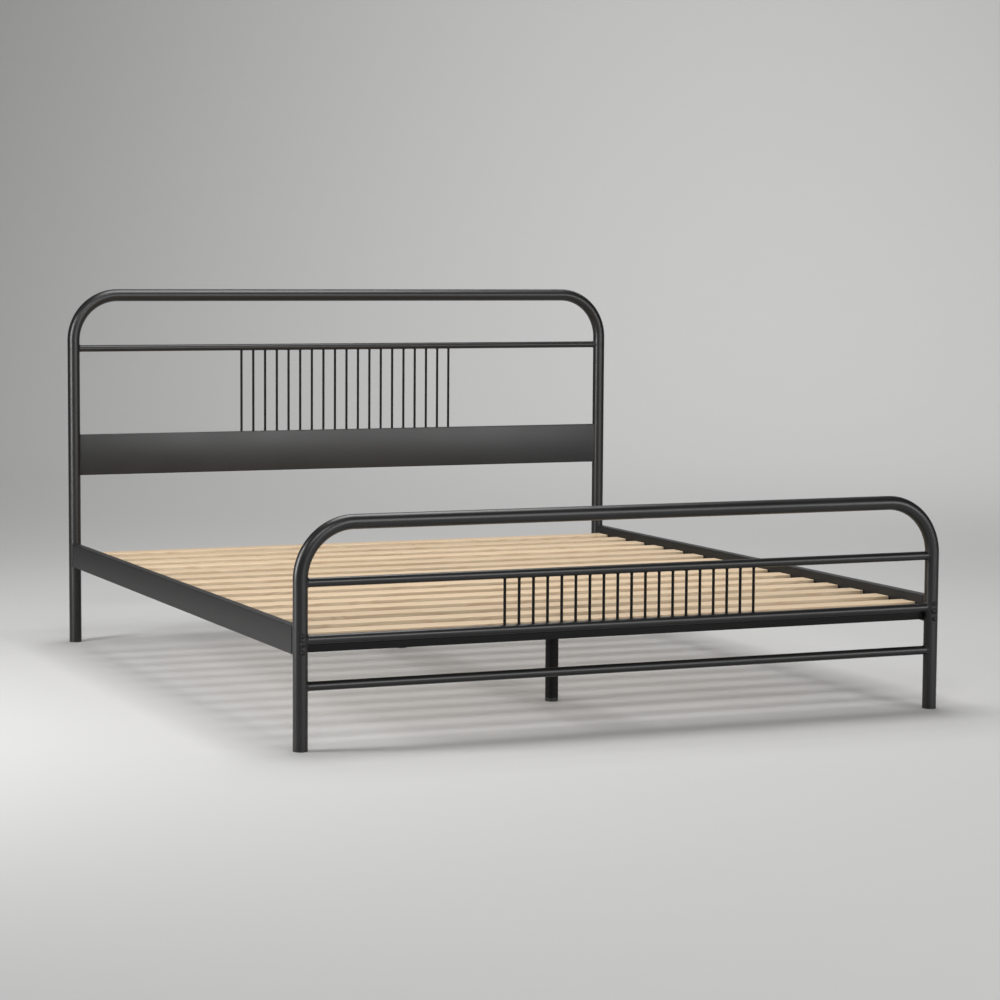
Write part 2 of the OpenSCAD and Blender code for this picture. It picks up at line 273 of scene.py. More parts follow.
@dataclass(frozen=True)
class PowderCoat(Finish):
    """Satin powder coat on steel: fine orange peel, faint clouding and a trace of dust."""

    peel_per_m: float = 620.0
    peel_depth: float = 0.16 * MM
    clouding: float = 0.18
    gloss: float = 0.5

    def surface(self, graph: Graph) -> dict:
        """Peel as relief, clouding in the tone and the roughness."""
        place = graph.place()
        peel = graph.noise(place, self.peel_per_m, 1.5, 0.45)
        grit = graph.noise(place, 3.4 * self.peel_per_m, 1.0, 0.5)
        cloud = graph.noise(place, 5.5, 3.0, 0.55)
        speck = graph.noise(place, 260.0, 2.0, 0.6).smooth(0.66, 0.78)
        dark = tuple((1 - self.clouding) * level for level in self.colour)
        light = tuple((1 + self.clouding) * level for level in self.colour)
        tone = graph.blend(cloud.smooth(0.3, 0.7), dark, light)
        return {
            "Base Color": graph.blend(speck * 0.12, tone, grey(0.12, 0.02)),
            "Roughness": self.roughness + (cloud - 0.5) * 0.10 + (grit - 0.5) * 0.06 + speck * 0.05,
            "Metallic": self.metallic,
            "IOR": 1.5,
            "Specular IOR Level": self.gloss,
            "Normal": graph.bump(peel + grit * 0.25, 0.42, self.peel_depth),
        }


@dataclass(frozen=True)
class BareMetal(Finish):
    """Plated or blackened steel of fasteners, with fine turning marks and faint stains."""

    stain: tuple[float, float, float] = (0.3, 0.3, 0.3)

    def surface(self, graph: Graph) -> dict:
        """Stains in the tone, fine grain in the relief."""
        place = graph.place()
        stains = graph.noise(place, 140.0, 3.0, 0.6)
        grain = graph.noise(place, 2600.0, 1.0, 0.5)
        return {
            "Base Color": graph.blend(stains.smooth(0.45, 0.75), self.colour, self.stain),
            "Roughness": self.roughness + (stains - 0.5) * 0.22 + (grain - 0.5) * 0.08,
            "Metallic": self.metallic,
            "Normal": graph.bump(grain, 0.25, 0.05 * MM),
        }


@dataclass(frozen=True)
class MouldedPlastic(Finish):
    """Black moulded plastic with the fine spark texture of its tool."""

    texture_per_m: float = 1500.0

    def surface(self, graph: Graph) -> dict:
        """Spark texture as relief, scuffs in the roughness."""
        place = graph.place()
        spark = graph.noise(place, self.texture_per_m, 2.0, 0.6)
        scuff = graph.noise(place, 90.0, 4.0, 0.65)
        return {
            "Base Color": graph.blend(scuff.smooth(0.5, 0.8) * 0.4, self.colour, grey(0.06)),
            "Roughness": self.roughness + (scuff - 0.5) * 0.2,
            "Normal": graph.bump(spark, 0.35, 0.08 * MM),
        }


@dataclass(frozen=True)
class PlanedPine(Finish):
    """Planed softwood boards that run along X, with growth rings, fine grain and a few knots."""

    late_wood: tuple[float, float, float] = (0.46, 0.31, 0.18)
    knot: tuple[float, float, float] = (0.20, 0.095, 0.040)
    board_pitch: float = 0.146

    def surface(self, graph: Graph) -> dict:
        """Rings and knots in the tone, grain in the relief."""
        place = graph.place()
        _, across, _ = graph.axes(place)
        board = ((across / self.board_pitch) + 0.5).floor()
        chance = graph.node("ShaderNodeTexWhiteNoise", {"noise_dimensions": "1D"}, {"W": board})
        tint = Value(graph, chance.outputs[0])
        knot_cells = graph.node(
            "ShaderNodeTexVoronoi", {"feature": "F1"},
            {"Vector": graph.scaled(place, (0.45, 1.0, 1.0)), "Scale": 3.4, "Randomness": 1.0},
        )
        near_knot = Value(graph, knot_cells.outputs["Distance"])
        wander = graph.noise(graph.scaled(place, (0.8, 5.0, 5.0)), 2.2, 2.0, 0.5)
        rings = graph.noise(graph.scaled(place, (0.25, 26.0, 26.0)), 4.0, 1.0, 0.4)
        bands = self.bands(graph, across, wander, rings, near_knot, tint)
        pores = graph.noise(graph.scaled(place, (6.0, 260.0, 260.0)), 6.0, 2.0, 0.6)
        warm = tuple(0.86 * level for level in self.colour)
        board_tone = graph.blend(tint, self.colour, warm)
        ringed = graph.blend(bands * 0.62, board_tone, self.late_wood)
        grained = graph.blend(pores.smooth(0.52, 0.72) * 0.30, ringed, self.late_wood)
        return {
            "Base Color": graph.blend(near_knot.smooth(0.052, 0.026), grained, self.knot),
            "Roughness": self.roughness + (pores - 0.5) * 0.18 - bands * 0.06,
            "Normal": graph.bump(pores + bands * 0.5, 0.30, 0.18 * MM),
        }

    @staticmethod
    def bands(
        graph: Graph, across: Value, wander: Value, rings: Value, near_knot: Value, tint: Value
    ) -> Value:
        """The late wood of the growth rings, which bend round the knots.

        Args:
            graph: the material's node tree.
            across: the place across the board.
            wander: how the rings drift along the board.
            rings: their small unevenness.
            near_knot: the distance from the nearest knot.
            tint: a number that differs from board to board.

        Returns:
            0 in early wood and 1 in late wood.
        """
        drift = wander * 0.085 + rings * 0.010 + near_knot.smooth(0.16, 0.02) * 0.030
        phase = (across + drift + tint * 0.7) * (FULL_TURN / (7.5 * MM))
        sine = graph.node("ShaderNodeMath", {"operation": "SINE"}, {0: phase})
        wave = Value(graph, sine.outputs[0])
        return (wave * 0.5 + 0.5) ** 2.2


CHARCOAL = PowderCoat("charcoal_powder_coat", Slot.STEEL, grey(0.006, 0.015), 0.36)
MATT_CHARCOAL = PowderCoat("matt_charcoal_powder_coat", Slot.STEEL, grey(0.006, 0.015), 0.52)
# A darker, less glossy copy of the powder coat, for the spindles and the parts under the deck:
# painted shade, standing in for the shade that falls on them. The real parts probably wear the same
# coat as the tubes.
SHADED_COAT = PowderCoat("painted_shade_powder_coat", Slot.STEEL, grey(0.004, 0.015), 0.50, gloss=0.16)
BLACKENED = BareMetal("blackened_steel", Slot.RAIL_FASTENERS, grey(0.020), 0.42, 0.6, grey(0.010))
ZINC = BareMetal("zinc_plate", Slot.PLATED, (0.46, 0.46, 0.45), 0.33, 1.0, (0.36, 0.35, 0.31))
PLASTIC = MouldedPlastic("black_moulding", Slot.PLASTIC, grey(0.017), 0.55)
PINE = PlanedPine("planed_pine", Slot.WOOD, (0.62, 0.48, 0.32), 0.58)


# ---- mesh work that several pieces share ----


@dataclass(frozen=True)
class Stock:
    """How fine round stock is drawn."""

    tube_sides: int = 64
    thin_sides: int = 32
    rod_sides: int = 20
    bend_steps: int = 28


STOCK = Stock()


class Bench:
    """One mesh on the bench: shapes are added to it, and it leaves as a finished piece."""

    def __init__(self, name: str, finish: Finish, *nodes: str, body: Body = Body.FRAME) -> None:
        """Starts an empty mesh.

        Args:
            name: the piece's name.
            finish: what it is coated with or made of.
            nodes: the frame's nodes that it stands for.
            body: the body that it moves with.
        """
        self.name = name
        self.finish = finish
        self.nodes = nodes
        self.body = body
        self.bm = bmesh.new()

    def done(self, crease: float = 35.0) -> bpy.types.Object:
        """Closes the mesh and hands it over.

        Args:
            crease: the angle in degrees past which an edge is sharp.

        Returns:
            The finished object.
        """
        bmesh.ops.remove_doubles(self.bm, verts=self.bm.verts, dist=0.002 * MM)
        bmesh.ops.dissolve_degenerate(self.bm, edges=self.bm.edges, dist=0.001 * MM)
        bmesh.ops.recalc_face_normals(self.bm, faces=self.bm.faces)
        mesh = bpy.data.meshes.new(self.name)
        self.bm.to_mesh(mesh)
        self.bm.free()
        mesh.shade_smooth()
        mesh.set_sharp_from_angle(angle=math.radians(crease))
        mesh.materials.append(self.finish.material())
        piece = bpy.data.objects.new(self.name, mesh)
        bpy.context.scene.collection.objects.link(piece)
        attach(piece, self.body.value)
        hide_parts(*self.nodes)
        nodes = ", ".join(self.nodes)
        log.info("%s: %d faces, stands for %s", self.name, len(mesh.polygons), nodes)
        return piece

    def box(self, low: Vector, high: Vector, round_edge: float, segments: int = 3) -> None:
        """Adds a box with softened edges.

        Args:
            low: its lowest corner.
            high: its highest corner.
            round_edge: the radius of its edges.
            segments: the facets of each rounded edge.
        """
        size, middle = high - low, (high + low) / 2
        matrix = Matrix.Translation(middle) @ Matrix.Diagonal((*size, 1.0))
        verts = bmesh.ops.create_cube(self.bm, size=1.0, matrix=matrix)["verts"]
        self.round_edges({edge for vert in verts for edge in vert.link_edges}, round_edge, segments)

    def round_edges(self, edges: Iterable[Edge], radius: float, segments: int) -> None:
        """Rounds edges of the mesh."""
        bmesh.ops.bevel(
            self.bm, geom=list(edges), offset=radius, segments=segments,
            affect="EDGES", profile=0.5, material=-1,
        )

    def bar(
        self, outline: list[tuple[float, float]], low: float, high: float, turn: Matrix,
        round_edge: float,
    ) -> None:
        """Extrudes an outline into a bar with softened long edges.

        Args:
            outline: the section's corners, across the bar.
            low: where the bar starts along its length.
            high: where it ends.
            turn: places the bar, whose length runs along local Z.
            round_edge: the radius of its long edges.
        """
        ring = [self.bm.verts.new((u, v, low)) for u, v in outline]
        face = self.bm.faces.new(ring)
        grown = bmesh.ops.extrude_face_region(self.bm, geom=[face])["geom"]
        tops = [item for item in grown if isinstance(item, Vert)]
        bmesh.ops.translate(self.bm, verts=tops, vec=(0, 0, high - low))
        verts = ring + tops
        half = (high - low) / 2
        edges = {edge for vert in verts for edge in vert.link_edges}
        long_edges = {e for e in edges if abs(e.verts[0].co.z - e.verts[1].co.z) > half}
        bmesh.ops.transform(self.bm, matrix=turn, verts=verts)
        self.round_edges(long_edges, round_edge, 3)

    def lathe(self, profile: list[tuple[float, float]], matrix: Matrix, steps: int) -> list[Vert]:
        """Turns a profile round local Z.

        Args:
            profile: (radius, height) points from the axis or a rim, in order.
            matrix: places the turned shape.
            steps: its facets round the axis.

        Returns:
            The shape's vertices.
        """
        chain = [self.bm.verts.new((radius, 0.0, height)) for radius, height in profile]
        edges = [self.bm.edges.new(pair) for pair in zip(chain, chain[1:])]
        before = set(self.bm.verts) - set(chain)
        bmesh.ops.spin(
            self.bm, geom=chain + edges, cent=(0, 0, 0), axis=(0, 0, 1),
            angle=FULL_TURN, steps=steps, use_merge=True, use_duplicate=False,
        )
        made = [vert for vert in self.bm.verts if vert not in before]
        bmesh.ops.transform(self.bm, matrix=matrix, verts=made)
        return made

    def rod(
        self, start: Vector, end: Vector, radius: float, sides: int, ends: float = 0.0
    ) -> list[Vert]:
        """Adds a closed round rod.

        Args:
            start: the middle of one end.
            end: the middle of the other end.
            radius: its radius.
            sides: its facets.
            ends: the radius of its rounded end edges.

        Returns:
            The rod's vertices.
        """
        length = (end - start).length
        profile = [(0.0, 0.0), (radius - ends, 0.0), (radius, ends)]
        profile += [(radius, length - ends), (radius - ends, length), (0.0, length)]
        turn = (end - start).to_track_quat("Z", "Y").to_matrix().to_4x4()
        return self.lathe(profile, Matrix.Translation(start) @ turn, sides)


def facing(place: Vector, direction: Vector) -> Matrix:
    """The matrix that puts local Z along a direction at a place."""
    return Matrix.Translation(place) @ direction.to_track_quat("Z", "X").to_matrix().to_4x4()


class TubeRun:
    """A round tube drawn as a bender makes it: straight lengths and bends, one after another."""

    def __init__(self, bench: Bench, start: Vector, heading: Vector, radius: float) -> None:
        """Starts the tube with a closed end.

        Args:
            bench: the mesh that it is added to.
            start: the middle of its first end.
            heading: the direction that it leaves in.
            radius: its outer radius.
        """
        self.bm = bench.bm
        self.middle = start.copy()
        self.heading = heading.normalized()
        verts = bmesh.ops.create_circle(
            self.bm, cap_ends=True, radius=radius, segments=STOCK.tube_sides,
            matrix=facing(start, heading),
        )["verts"]
        self.ring = list({edge for vert in verts for edge in vert.link_edges})

    def straight(self, length: float) -> "TubeRun":
        """Draws a straight length."""
        geom = bmesh.ops.extrude_edge_only(self.bm, edges=self.ring)["geom"]
        verts = [item for item in geom if isinstance(item, Vert)]
        bmesh.ops.translate(self.bm, verts=verts, vec=self.heading * length)
        edges = [item for item in geom if isinstance(item, Edge)]
        self.ring = [edge for edge in edges if all(vert in verts for vert in edge.verts)]
        self.middle += self.heading * length
        return self

    def bend(self, axis: Vector, radius: float, angle: float) -> "TubeRun":
        """Draws a bend.

        Args:
            axis: the direction that the bend turns about.
            radius: the radius of its centreline.
            angle: how far it turns, in radians.

        Returns:
            The tube, to draw on.
        """
        centre = self.middle + axis.cross(self.heading).normalized() * radius
        last = bmesh.ops.spin(
            self.bm, geom=self.ring, cent=centre, axis=axis, angle=angle,
            steps=STOCK.bend_steps, use_duplicate=False,
        )["geom_last"]
        self.ring = [item for item in last if isinstance(item, Edge)]
        turn = Matrix.Rotation(angle, 3, axis)
        self.middle = centre + turn @ (self.middle - centre)
        self.heading = turn @ self.heading
        return self

    def end(self) -> None:
        """Closes the tube's last end."""
        bmesh.ops.contextual_create(self.bm, geom=self.ring)


@dataclass(frozen=True)
class Weld:
    """A weld bead round a thin tube or rod where it meets a wider tube or a flat face."""

    bead: float
    ripples: int = 26
    ripple_depth: float = 0.16

    def ring(
        self, bench: Bench, crossing: Vector, inward: Vector, radius: float, host: float,
        level: Vector,
    ) -> None:
        """Adds a bead that follows the joint.

        Args:
            bench: the mesh that it is added to.
            crossing: where the thin tube's axis meets the host's axis, or a flat host's face.
            inward: the direction from the thin tube into the host.
            radius: the thin tube's radius.
            host: the host tube's radius, or 0 for a flat host.
            level: the direction of the host's axis.
        """
        inward = inward.normalized()
        across = inward.cross(level).normalized()
        bm = bench.bm
        start = bmesh.ops.create_circle(
            bm, cap_ends=False, radius=self.bead, segments=8,
            matrix=Matrix.Translation((radius, 0, 0)) @ Matrix.Rotation(math.pi / 2, 4, "X"),
        )["verts"]
        before = set(bm.verts) - set(start)
        edges = {edge for vert in start for edge in vert.link_edges}
        steps = 2 * self.ripples
        bmesh.ops.spin(
            bm, geom=list(start) + list(edges), cent=(0, 0, 0), axis=(0, 0, 1),
            angle=FULL_TURN, steps=steps, use_merge=True, use_duplicate=False,
        )
        made = [vert for vert in bm.verts if vert not in before]
        for vert in made:
            angle = math.atan2(vert.co.y, vert.co.x)
            rim = Vector((math.cos(angle), math.sin(angle), 0)) * radius
            swell = 1 + self.ripple_depth * math.cos(self.ripples * angle)
            vert.co = rim + (vert.co - rim) * swell
        bmesh.ops.transform(bm, matrix=facing(crossing, inward), verts=made)
        for vert in made:
            off = (vert.co - crossing).dot(across)
            reach = math.sqrt(max(host * host - off * off, 0.0)) if host else 0.0
            vert.co -= inward * reach

    def seam(self, bench: Bench, start: Vector, end: Vector) -> None:
        """Adds a straight bead with its ripples.

        Args:
            bench: the mesh that it is added to.
            start: where it starts.
            end: where it ends.
        """
        length = (end - start).length
        steps = max(4, int(length / (1.1 * self.bead)))
        profile = [(0.0, 0.0)]
        for step in range(1, steps):
            swell = 1 + self.ripple_depth * (-1) ** step
            profile.append((self.bead * swell, length * step / steps))
        profile.append((0.0, length))
        turn = (end - start).to_track_quat("Z", "Y").to_matrix().to_4x4()
        bench.lathe(profile, Matrix.Translation(start) @ turn, 10)


# ---- places read from the frame ----


@dataclass(frozen=True)
class Places:
    """Where the frame stands, read from its flat-sided nodes."""

    rail_width: float = 30 * MM
    plate_stand_off: float = 22 * MM
    tube_radius: float = 20 * MM

    @property
    def post_x(self) -> float:
        """Half the distance between two posts of a board."""
        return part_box("rail_end_plates")[1].x - self.rail_width / 2

    @property
    def post_y(self) -> float:
        """Half the distance between the headboard and the footboard."""
        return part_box("rail_end_plates")[1].y + self.plate_stand_off

    @staticmethod
    def middle(node: str) -> Vector:
        """The middle of a node's box."""
        low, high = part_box(node)
        return (low + high) / 2


PLACES = Places()
UP = Vector((0, 0, 1))
ALONG_X = Vector((1, 0, 0))
ALONG_Y = Vector((0, 1, 0))


@dataclass
class Board:
    """A headboard or a footboard: a bent tube, rails, spindles and perhaps a panel."""

    name: str
    nodes: str
    side: float
    height: float
    rails: tuple[tuple[str, float], ...]
    spindle_rail: str
    spindle_rail_radius: float
    bend_radius: float = 150 * MM
    spindle_radius: float = 4 * MM
    spindle_count: int = 19
    cap_flange: float = 3 * MM
    rail_weld: Weld = field(default_factory=lambda: Weld(2.2 * MM))
    rod_weld: Weld = field(default_factory=lambda: Weld(1.1 * MM, 9, 0.12))

    @property
    def y(self) -> float:
        """The plane of the board's posts."""
        return self.side * PLACES.post_y

    def build(self) -> None:
        """Makes every piece of the board."""
        self.build_hoop()
        for node, radius in self.rails:
            self.build_rail(node, radius)
        self.build_spindles()

    def build_hoop(self) -> None:
        """The bent tube whose legs are the posts."""
        bench = Bench(f"{self.name}_hoop", CHARCOAL, f"{self.nodes}_frame")
        crown = self.height - PLACES.tube_radius
        rise = crown - self.bend_radius - self.cap_flange
        start = Vector((-PLACES.post_x, self.y, self.cap_flange))
        run = TubeRun(bench, start, UP, PLACES.tube_radius)
        run.straight(rise).bend(ALONG_Y, self.bend_radius, math.pi / 2)
        run.straight(2 * (PLACES.post_x - self.bend_radius))
        run.bend(ALONG_Y, self.bend_radius, math.pi / 2)
        run.straight(rise).end()
        bench.done()

    def build_rail(self, node: str, radius: float) -> None:
        """A thin tube between the posts, its ends shaped to them and welded round."""
        bench = Bench(f"{node}_tube", CHARCOAL, node)
        height = PLACES.middle(node).z
        left = Vector((-PLACES.post_x, self.y, height))
        right = Vector((PLACES.post_x, self.y, height))
        for vert in bench.rod(left, right, radius, STOCK.thin_sides):
            off = vert.co.y - self.y
            reach = math.sqrt(PLACES.tube_radius**2 - off * off) - 0.4 * MM
            vert.co.x -= math.copysign(reach, vert.co.x)
        for end, inward in ((left, -ALONG_X), (right, ALONG_X)):
            self.rail_weld.ring(bench, end, inward, radius, PLACES.tube_radius, UP)
        bench.done()

    def spindle_ends(self) -> tuple[float, float, float]:
        """The lower end, the upper end and the radius of a round host at the lower end, or 0."""
        raise NotImplementedError

    def build_spindles(self) -> None:
        """The row of thin rods, each welded at both ends."""
        node = f"{self.nodes}_spindles"
        # Painted shade: the rods get the darker copy of the powder coat.
        bench = Bench(f"{node}_rods", SHADED_COAT, node)
        low, high, low_host = self.spindle_ends()
        box_low, box_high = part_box(node)
        first = box_low.x + self.spindle_radius
        pitch = (box_high.x - box_low.x - 2 * self.spindle_radius) / (self.spindle_count - 1)
        for number in range(self.spindle_count):
            foot = Vector((first + number * pitch, self.y, low))
            head = Vector((first + number * pitch, self.y, high))
            seat = Vector((0, 0, 0.9 * low_host))
            top = head - 0.9 * UP * self.spindle_rail_radius
            bench.rod(foot + seat, top, self.spindle_radius, STOCK.rod_sides)
            thick, high_host = self.spindle_radius, self.spindle_rail_radius
            self.rod_weld.ring(bench, foot, -UP, thick, low_host, ALONG_X)
            self.rod_weld.ring(bench, head, UP, thick, high_host, ALONG_X)
        bench.done()


@dataclass
class Headboard(Board):
    """The tall board, whose spindles stand on a flat panel."""

    sheet_edge: float = 2.2 * MM

    def spindle_ends(self) -> tuple[float, float, float]:
        """From the panel's top to the thin rail."""
        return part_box("headboard_panel")[1].z, PLACES.middle(self.spindle_rail).z, 0.0

    def build(self) -> None:
        """Makes the board and its panel."""
        super().build()
        self.build_panel()

    def build_panel(self) -> None:
        """The flat panel, folded from sheet, welded to the posts behind."""
        bench = Bench("headboard_panel_sheet", CHARCOAL, "headboard_panel")
        low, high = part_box("headboard_panel")
        bench.box(low, high, self.sheet_edge, 4)
        half = (high.y - low.y) / 2
        seam_x = PLACES.post_x - math.sqrt(PLACES.tube_radius**2 - half * half)
        inset = 6 * MM
        for side in SIDES:
            for face in (low.y, high.y):
                start = Vector((side * seam_x, face, low.z + inset))
                end = Vector((side * seam_x, face, high.z - inset))
                self.rail_weld.seam(bench, start, end)
        bench.done()


@dataclass
class Footboard(Board):
    """The low board, whose spindles stand between two rails."""

    def spindle_ends(self) -> tuple[float, float, float]:
        """From the middle rail to the upper rail."""
        low = PLACES.middle("footboard_middle_rail").z
        return low, PLACES.middle(self.spindle_rail).z, self.spindle_rail_radius


@dataclass
class SideRails:
    """The two box-section side rails, their end plates, spacers and fasteners."""

    corner: float = 3 * MM
    plate_edge: float = 0.8 * MM
    bolt_rise: float = 31 * MM
    screw_pitch: float = 22 * MM
    bolt: float = 8 * MM
    screw: float = 6 * MM
    washer: float = 2 * MM
    plate_weld: Weld = field(default_factory=lambda: Weld(1.5 * MM))

    def build(self) -> None:
        """Makes every piece of the side rails."""
        for node in ("side_rail_left", "side_rail_right"):
            self.build_rail(node)
        self.build_plates()
        self.build_spacers()
        self.build_fasteners("rail_bolts", "bolt_washers", self.bolt, (self.bolt_z,))
        heights = (self.bolt_z - self.screw_pitch, self.bolt_z + self.screw_pitch)
        self.build_fasteners("rail_screws", "screw_washers", self.screw, heights)

    @property
    def bolt_z(self) -> float:
        """The height of the main bolts."""
        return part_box("side_rail_left")[0].z + self.bolt_rise

    def build_rail(self, node: str) -> None:
        """A box-section rail with rounded long edges."""
        bench = Bench(f"{node}_box", MATT_CHARCOAL, node)
        low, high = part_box(node)
        outline = [(low.x, low.z), (high.x, low.z), (high.x, high.z), (low.x, high.z)]
        bench.bar(outline, low.y, high.y, ALONG_BED, self.corner)
        bench.done()

    def corners(self) -> Iterable[tuple[Vector, Vector]]:
        """Each post's axis on the floor, and the direction from it into the bed."""
        for side in SIDES:
            for end in SIDES:
                yield Vector((side * PLACES.post_x, end * PLACES.post_y, 0)), Vector((0, -end, 0))

    def build_plates(self) -> None:
        """The four end plates, each welded round its rail's end."""
        bench = Bench("rail_end_plate_set", CHARCOAL, "rail_end_plates")
        low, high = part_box("rail_end_plates")
        thick = 4 * MM
        half = PLACES.rail_width / 2
        for post, inward in self.corners():
            near = post + inward * PLACES.plate_stand_off
            far = near + inward * thick
            corner_low = Vector((post.x - half, min(near.y, far.y), low.z))
            corner_high = Vector((post.x + half, max(near.y, far.y), high.z))
            bench.box(corner_low, corner_high, self.plate_edge, 2)
            for side in SIDES:
                edge = post.x + side * half
                start = Vector((edge, far.y, low.z + self.corner))
                end = Vector((edge, far.y, high.z - self.corner))
                self.plate_weld.seam(bench, start, end)
        bench.done()

    def build_spacers(self) -> None:
        """The four plastic spacers, hollow on the side that sits on the post."""
        bench = Bench("post_saddle_set", PLASTIC, "post_saddles")
        low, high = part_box("post_saddles")
        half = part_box("post_saddles")[1].x - PLACES.post_x
        columns = 12
        for post, inward in self.corners():
            outline = []
            for column in range(columns + 1):
                across = -half + 2 * half * column / columns
                outline.append((across, math.sqrt(PLACES.tube_radius**2 - across * across)))
            outline += [(half, PLACES.plate_stand_off), (-half, PLACES.plate_stand_off)]
            turn = Matrix.Translation(post) @ Matrix.Diagonal((1, inward.y, 1, 1))
            bench.bar(outline, low.z, high.z, turn, 0.3 * MM)
        bench.done()

    def build_fasteners(
        self, node: str, washer_node: str, size: float, heights: Iterable[float]
    ) -> None:
        """Button-head bolts through the posts, each on a saddle washer.

        Args:
            node: the bolts' node.
            washer_node: their washers' node.
            size: the thread's diameter.
            heights: where they sit on each post.
        """
        bolts = Bench(f"{node}_set", BLACKENED, node)
        washers = Bench(f"{washer_node}_set", BLACKENED, washer_node)
        reach = PLACES.plate_stand_off + 4 * MM + 1.5 * size
        for post, inward in self.corners():
            for height in heights:
                axis = post + UP * height
                seat = axis - inward * (PLACES.tube_radius + self.washer)
                ButtonBolt(size).add(bolts, seat, inward, reach + PLACES.tube_radius + self.washer)
                self.add_washer(washers, axis, inward, size)
        bolts.done()
        washers.done()

    def add_washer(self, bench: Bench, axis: Vector, inward: Vector, size: float) -> None:
        """A washer with a flat outer face and a hollow inner face.

        Args:
            bench: the mesh that it is added to.
            axis: the post's axis at the bolt's height.
            inward: the direction into the bed.
            size: the bolt's diameter.
        """
        outer, bore = 1.15 * size, 0.55 * size
        edge = 0.5 * MM
        top = PLACES.tube_radius + self.washer
        profile = [(bore, 0.0), (bore, top), (outer - edge, top), (outer, top - edge), (outer, 0.0)]
        made = bench.lathe(profile, facing(axis, -inward), 28)
        for vert in made:
            across = vert.co.x - axis.x
            if (vert.co - axis).dot(-inward) < 0.5 * PLACES.tube_radius:
                hollow = math.sqrt(PLACES.tube_radius**2 - across * across) - 0.2 * MM
                vert.co.y = axis.y - inward.y * hollow


@dataclass(frozen=True)
class ButtonBolt:
    """A round-headed bolt with a hexagon socket."""

    size: float

    def add(self, bench: Bench, seat: Vector, inward: Vector, length: float) -> None:
        """Adds the bolt.

        Args:
            bench: the mesh that it is added to.
            seat: the middle of the head's underside.
            inward: the direction that the shank runs in.
            length: the shank's length.
        """
        head, tall = 0.9 * self.size, 0.55 * self.size
        socket, deep = 0.35 * self.size, 0.3 * self.size
        dome = [(0.36, 1.0), (0.62, 0.97), (0.80, 0.86), (0.93, 0.62), (1.0, 0.25), (1.0, 0.0)]
        profile = [(head * across, tall * up) for across, up in dome]
        shank = 0.5 * self.size
        profile += [(shank, 0.0), (shank, 0.4 * MM - length)]
        profile += [(shank - 0.4 * MM, -length), (0.0, -length)]
        steps = 24
        made = bench.lathe(profile, Matrix.Identity(4), steps)
        rim = [v for v in made if abs(v.co.z - tall) < 1e-7]
        ring = self.extruded(bench, self.between(rim))
        for vert in ring:
            angle = math.atan2(vert.co.y, vert.co.x)
            flat = math.cos(math.pi / 6) / math.cos(angle % (math.pi / 3) - math.pi / 6)
            vert.co.xy = (socket * flat * math.cos(angle), socket * flat * math.sin(angle))
        floor = self.extruded(bench, self.between(ring))
        bmesh.ops.translate(bench.bm, verts=floor, vec=(0, 0, -deep))
        bmesh.ops.contextual_create(bench.bm, geom=list(self.between(floor)))
        bmesh.ops.transform(bench.bm, matrix=facing(seat, -inward), verts=made + ring + floor)

    @staticmethod
    def between(verts: list[Vert]) -> set[Edge]:
        """The edges that join two of some vertices."""
        edges = {edge for vert in verts for edge in vert.link_edges}
        return {edge for edge in edges if all(vert in verts for vert in edge.verts)}

    @staticmethod
    def extruded(bench: Bench, edges: Iterable[Edge]) -> list[Vert]:
        """Extrudes a ring of edges and returns the new ring's vertices."""
        geom = bmesh.ops.extrude_edge_only(bench.bm, edges=list(edges))["geom"]
        return [item for item in geom if isinstance(item, Vert)]


